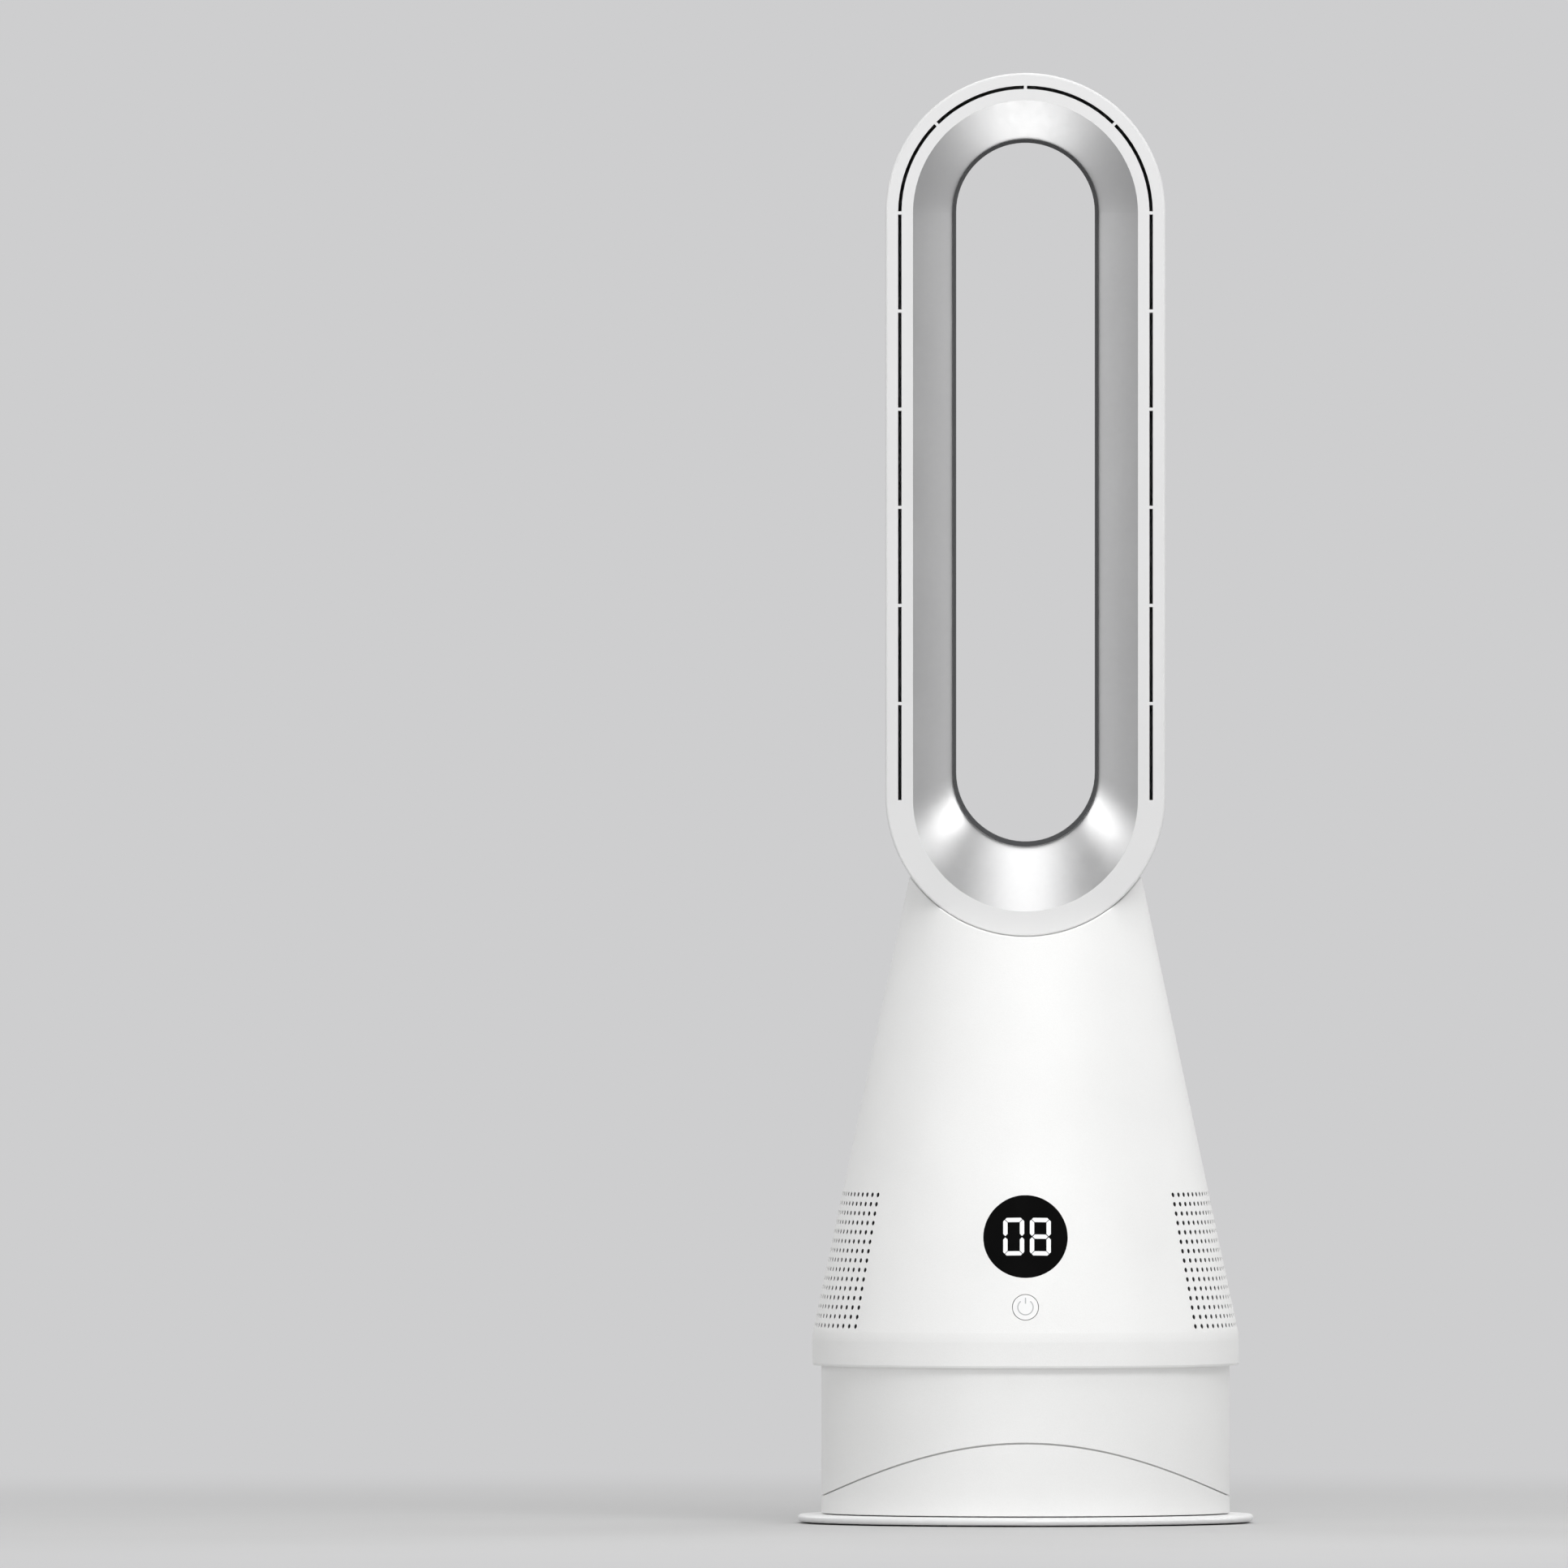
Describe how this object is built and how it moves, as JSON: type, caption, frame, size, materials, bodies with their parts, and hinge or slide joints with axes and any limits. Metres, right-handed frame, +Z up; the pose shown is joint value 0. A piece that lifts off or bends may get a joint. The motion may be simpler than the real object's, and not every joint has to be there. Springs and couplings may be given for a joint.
{
  "type": "bladeless fan",
  "caption": "Standing bladeless tower fan: a long oval air ring on a cone with side intakes, a tilting head and an oscillating round base.",
  "frame": {"origin": "centre of the foot where the rubber pads meet the table, on the fan's vertical axis", "axes": "+Z up, front (air outlet, display and button) towards -Y, +X to the right seen from the front"},
  "size_m": [0.25, 0.25, 0.796],
  "materials": {
    "white_housing": "fine-textured white moulding",
    "foot_white": "smooth white moulding",
    "pad_rubber": "matt black rubber",
    "plated_steel": "zinc-plated steel",
    "gear_acetal": "natural acetal",
    "bush_bronze": "sintered bronze",
    "inner_plastic": "dark grey moulding",
    "ballast_iron": "painted cast iron",
    "socket_black": "black moulding",
    "silver_liner": "satin metallic silver",
    "throat_grey": "dark grey moulding",
    "display_black": "polished black window",
    "digit_white": "white light guide",
    "button_white": "fine-textured white moulding",
    "board_green": "green lacquered board",
    "stator_iron": "laminations and windings",
    "impeller_plastic": "glass-filled light grey moulding"
  },
  "bodies": {
    "foot": {"foot_plate": "foot_white", "foot_pads": "pad_rubber", "spindle": "plated_steel", "spindle_clip": "plated_steel", "spindle_screws": "plated_steel", "glide_ring": "gear_acetal", "fixed_gear": "gear_acetal"},
    "base": {"base_shell": "white_housing", "turntable": "inner_plastic", "spindle_bush": "bush_bronze", "base_screws": "plated_steel", "gear_motor": "plated_steel", "gear_motor_screws": "plated_steel", "ballast_weight": "ballast_iron", "power_inlet": "socket_black", "friction_pads": "pad_rubber"},
    "pinion": {"drive_pinion": "gear_acetal", "pinion_shaft": "plated_steel"},
    "head": {"head_shell": "white_housing", "tilt_hook_left": "inner_plastic", "tilt_hook_right": "inner_plastic", "hook_screws": "plated_steel", "cone_shell": "white_housing", "intake_grille_left": "white_housing", "intake_grille_right": "white_housing", "head_screws": "plated_steel", "ring_face": "white_housing", "nozzle_frame": "socket_black", "ring_shell": "white_housing", "ring_screws": "plated_steel", "ring_liner": "silver_liner", "throat": "throat_grey", "display_digits": "digit_white", "display_lens": "display_black", "display_frame": "socket_black", "display_lamp": "digit_white", "button_guide": "inner_plastic", "button_switch": "socket_black", "control_board": "board_green", "board_screws": "plated_steel", "fan_housing": "inner_plastic", "housing_seal": "pad_rubber", "housing_screws": "plated_steel", "diffuser": "inner_plastic", "motor_sleeve": "pad_rubber", "motor_can": "plated_steel", "motor_bearings": "plated_steel", "motor_stator": "stator_iron", "motor_cap": "inner_plastic", "neck_duct": "inner_plastic"},
    "rotor": {"motor_rotor": "stator_iron", "impeller": "impeller_plastic", "impeller_nut": "plated_steel"},
    "button": {"power_button": "button_white"}
  },
  "joints": [
    {"name": "oscillation", "type": "hinge", "parent": "foot", "child": "base", "pos_m": [0, 0, 0.0088], "axis": [0, 0, 1], "range_deg": [-45, 45]},
    {"name": "pinion_turn", "type": "hinge", "parent": "base", "child": "pinion", "pos_m": [0, -0.0885, 0.0068], "axis": [0, 0, 1], "range_deg": [-252, 252]},
    {"name": "tilt", "type": "hinge", "parent": "base", "child": "head", "pos_m": [0, 0, 0.2354], "axis": [1, 0, 0], "range_deg": [-10, 10]},
    {"name": "impeller_spin", "type": "hinge", "parent": "head", "child": "rotor", "pos_m": [0, 0, 0.262], "axis": [0, 0, 1], "continuous": true},
    {"name": "power_press", "type": "slide", "parent": "head", "child": "button", "axis": [0, 0.9781, -0.2079], "range_m": [0, 0.0008], "stiffness_N_per_m": 900}
  ],
  "couplings": [
    {"joint": "pinion_turn", "follows": "oscillation", "ratio": 5.5556}
  ]
}
